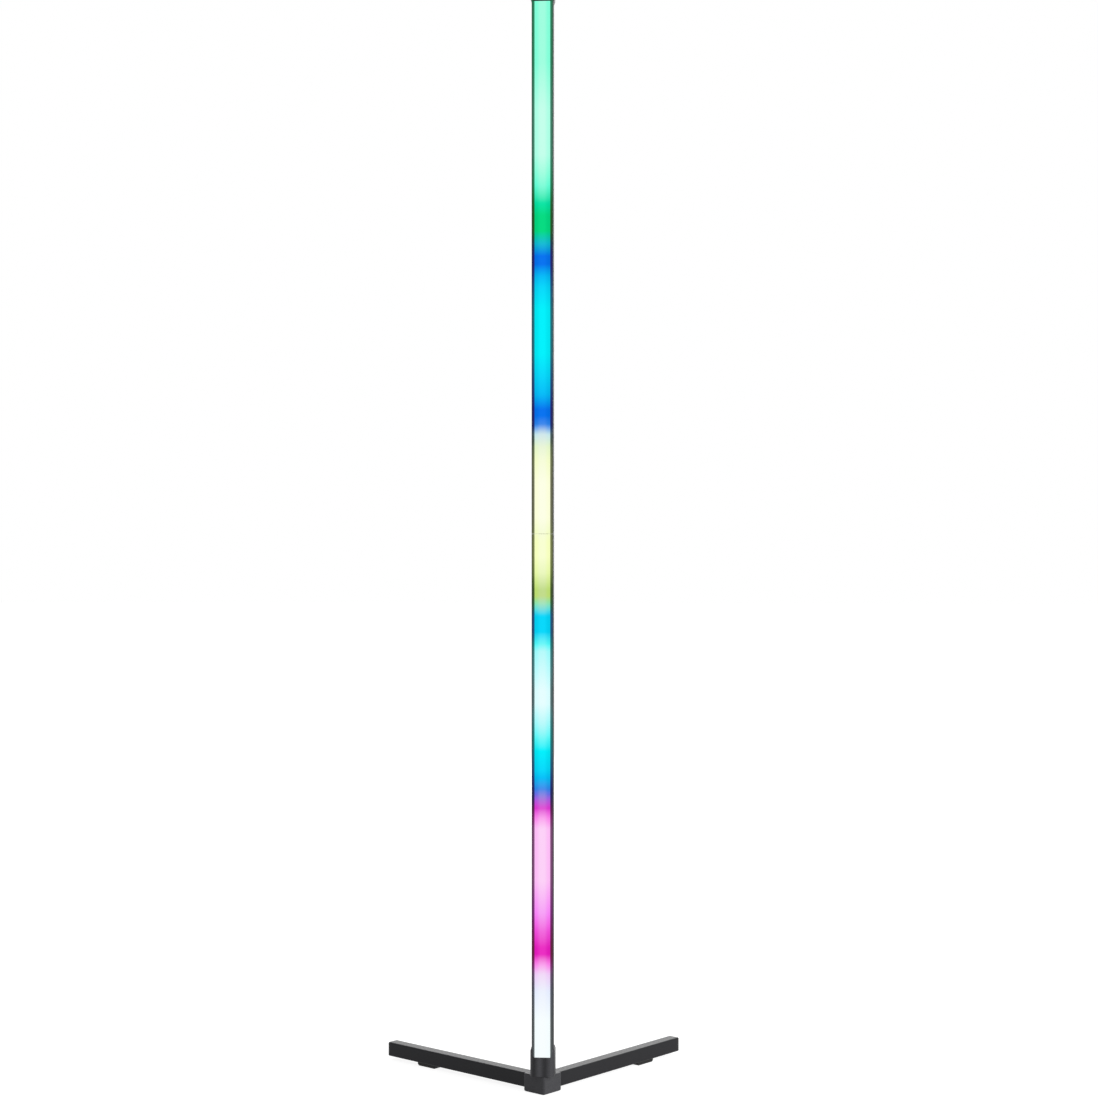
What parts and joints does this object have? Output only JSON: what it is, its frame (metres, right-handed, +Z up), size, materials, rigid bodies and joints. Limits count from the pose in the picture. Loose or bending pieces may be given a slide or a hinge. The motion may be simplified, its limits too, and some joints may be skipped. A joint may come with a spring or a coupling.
{
  "type": "corner floor lamp",
  "caption": "Slim upright light bar on a low V-shaped base with spread legs, made to stand in the corner of a room and wash the walls with coloured light.",
  "frame": {"origin": "on the floor under the axis of the pole, where the centre lines of the two legs cross", "axes": "+Z up along the pole; the lit side of the pole faces -Y; the legs run back and outwards, at a right angle to each other, 7.3 degrees counter-clockwise of half way between +Y and +X or -X, as the base stands turned a little under the pole"},
  "size_m": [0.3363, 0.2005, 1.2],
  "materials": {
    "cast_hub": "black powder coat on a casting, satin",
    "socket_finish": "black powder coat, satin",
    "profile_finish": "black anodised extrusion, fine draw lines",
    "leg_finish": "black powder coat on steel tube, satin",
    "steel_plate": "zinc plated",
    "screw_steel": "black oxide",
    "nickel_nut": "nickel plated",
    "rubber": "matt",
    "black_plastic": "moulded, fine grain",
    "white_plastic": "moulded nylon",
    "opal_diffuser": "opal polycarbonate, lit from behind",
    "strip_film": "white solder mask on film",
    "led_chip": "cast resin in a white case",
    "circuit_board": "green solder mask",
    "component_resin": "moulded resin",
    "foam_tape": "foam tape",
    "lead_insulation": "extruded insulation"
  },
  "bodies": {
    "root": {"corner_hub": "cast_hub", "hub_base_plate": "steel_plate", "base_plate_screws": "screw_steel", "hub_rubber_pad": "rubber", "socket_bolts": "screw_steel", "pole_socket": "socket_finish", "pole_screws": "screw_steel", "left_leg_tube": "leg_finish", "right_leg_tube": "leg_finish", "left_leg_screws": "screw_steel", "right_leg_screws": "screw_steel", "left_leg_end_cap": "black_plastic", "right_leg_end_cap": "black_plastic", "left_foot_pad": "rubber", "right_foot_pad": "rubber", "lower_profile": "profile_finish", "upper_profile": "profile_finish", "lower_diffuser": "opal_diffuser", "upper_diffuser": "opal_diffuser", "splice_bar": "steel_plate", "splice_screws": "screw_steel", "lower_led_strip": "strip_film", "upper_led_strip": "strip_film", "lower_led_chips": "led_chip", "upper_led_chips": "led_chip", "strip_link_socket": "white_plastic", "strip_link_plug": "white_plastic", "dc_inlet_jack": "black_plastic", "dc_inlet_nut": "nickel_nut", "inlet_leads": "lead_insulation", "strip_leads": "lead_insulation", "board_tape": "foam_tape", "control_board": "circuit_board", "control_components": "component_resin", "top_cap": "socket_finish", "top_cap_screws": "screw_steel"}
  },
  "joints": []
}
